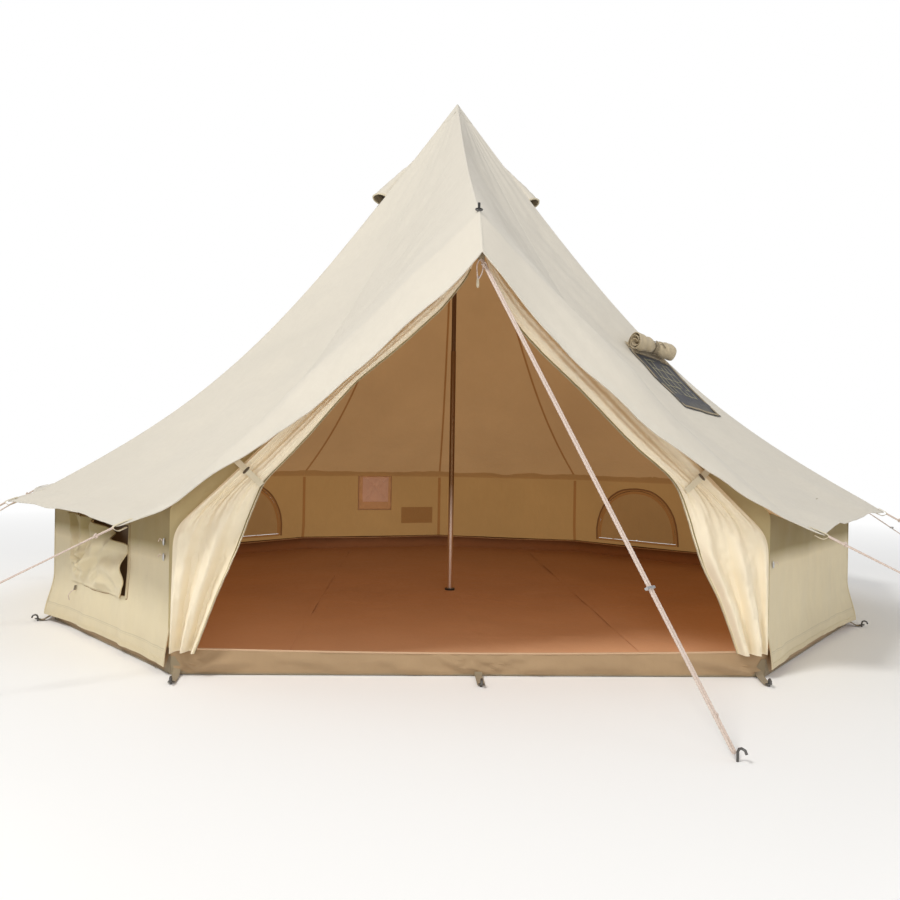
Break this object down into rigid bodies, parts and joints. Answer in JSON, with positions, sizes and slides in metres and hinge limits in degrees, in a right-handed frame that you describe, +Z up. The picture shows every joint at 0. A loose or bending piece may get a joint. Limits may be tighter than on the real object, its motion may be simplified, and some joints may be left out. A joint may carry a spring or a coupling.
{
  "type": "bell tent",
  "caption": "Round canvas bell tent on a centre pole with low side walls, framed doorway, tied-back doors, sewn-in groundsheet tray, guy lines and pegs.",
  "frame": {"origin": "on the ground, at the underside of the groundsheet, under the centre pole", "axes": "+Z up; -Y out through the doorway; +X to the right seen from the front"},
  "size_m": [5.8822, 5.4154, 2.71],
  "materials": {
    "canvas_roof": "woven cotton canvas, matt, outside pale cream",
    "canvas_wall": "woven cotton canvas, matt, beige",
    "groundsheet": "coated cloth, tan outside and brown inside, low sheen",
    "webbing": "woven strap",
    "fireproof_cloth": "coated glass cloth, dark grey",
    "black_plastic": "moulded, fine grain",
    "steel_tube": "galvanised tube",
    "rope": "braided cord",
    "slider_alloy": "satin",
    "peg_steel": "dull zinc plated"
  },
  "bodies": {
    "root": {"canopy": "canvas_roof", "side_wall": "canvas_wall", "groundsheet": "groundsheet", "vent_hood_left": "canvas_roof", "vent_hood_right": "canvas_roof", "stove_jack_patch": "fireproof_cloth", "pole_foot": "black_plastic", "pole_lower": "steel_tube", "pole_upper": "steel_tube", "pole_cap": "black_plastic", "frame_upper_left": "steel_tube", "frame_upper_right": "steel_tube", "frame_lower_left": "steel_tube", "frame_lower_right": "steel_tube", "frame_top_joint": "black_plastic", "guy_rope_front_right": "rope", "guy_rope_right_a": "rope", "guy_rope_right_b": "rope", "guy_rope_right_c": "rope", "guy_rope_back_right": "rope", "guy_rope_back": "rope", "guy_rope_back_left": "rope", "guy_rope_left_c": "rope", "guy_rope_left_b": "rope", "guy_rope_left_a": "rope", "guy_rope_front_left": "rope", "guy_rope_front": "rope", "guy_peg_front_right": "peg_steel", "guy_peg_right_a": "peg_steel", "guy_peg_right_b": "peg_steel", "guy_peg_right_c": "peg_steel", "guy_peg_back_right": "peg_steel", "guy_peg_back": "peg_steel", "guy_peg_back_left": "peg_steel", "guy_peg_left_c": "peg_steel", "guy_peg_left_b": "peg_steel", "guy_peg_left_a": "peg_steel", "guy_peg_front_left": "peg_steel", "guy_peg_front": "peg_steel", "base_peg_front_right": "peg_steel", "base_peg_right_a": "peg_steel", "base_peg_right_b": "peg_steel", "base_peg_right_c": "peg_steel", "base_peg_back_right": "peg_steel", "base_peg_back": "peg_steel", "base_peg_back_left": "peg_steel", "base_peg_left_c": "peg_steel", "base_peg_left_b": "peg_steel", "base_peg_left_a": "peg_steel", "base_peg_front_left": "peg_steel", "base_peg_sill": "peg_steel"},
    "window_left_flap": {"window_flap_left": "canvas_wall"},
    "window_back_left_flap": {"window_flap_back_left": "canvas_wall"},
    "window_back_right_flap": {"window_flap_back_right": "canvas_wall"},
    "door_left": {"door_flap_left": "canvas_wall", "door_tie_left": "webbing"},
    "door_right": {"door_flap_right": "canvas_wall", "door_tie_right": "webbing"},
    "stove_flap": {"stove_jack_flap": "canvas_wall"},
    "guy_slider": {"guy_slider_front": "slider_alloy"}
  },
  "joints": [
    {"name": "window_left_flap_open", "type": "hinge", "parent": "root", "child": "window_left_flap", "pos_m": [-1.38451, -1.19498, 0.205], "axis": [-0.6405, 0.768, 0], "range_deg": [-12, 80]},
    {"name": "window_back_left_flap_open", "type": "hinge", "parent": "root", "child": "window_back_left_flap", "pos_m": [-1.33064, 1.33064, 0.13], "axis": [0.7071, 0.7071, 0], "range_deg": [0, 90]},
    {"name": "window_back_right_flap_open", "type": "hinge", "parent": "root", "child": "window_back_right_flap", "pos_m": [1.33064, 1.33064, 0.13], "axis": [0.7071, -0.7071, 0], "range_deg": [0, 90]},
    {"name": "door_left_swing", "type": "hinge", "parent": "root", "child": "door_left", "pos_m": [-0.95, -1.718, 0.48059], "axis": [-0.7111, 0, -0.7031], "range_deg": [0, 22]},
    {"name": "door_right_swing", "type": "hinge", "parent": "root", "child": "door_right", "pos_m": [0.95, -1.718, 0.48059], "axis": [-0.7111, 0, 0.7031], "range_deg": [0, 22]},
    {"name": "stove_flap_swing", "type": "hinge", "parent": "root", "child": "stove_flap", "pos_m": [0.83882, -0.6465, 1.20417], "axis": [-0.7071, -0.7071, 0], "range_deg": [0, 35]},
    {"name": "guy_slider_slide", "type": "slide", "parent": "root", "child": "guy_slider", "axis": [0.3664, -0.4134, -0.8336], "range_m": [-0.6, 0.3]}
  ]
}
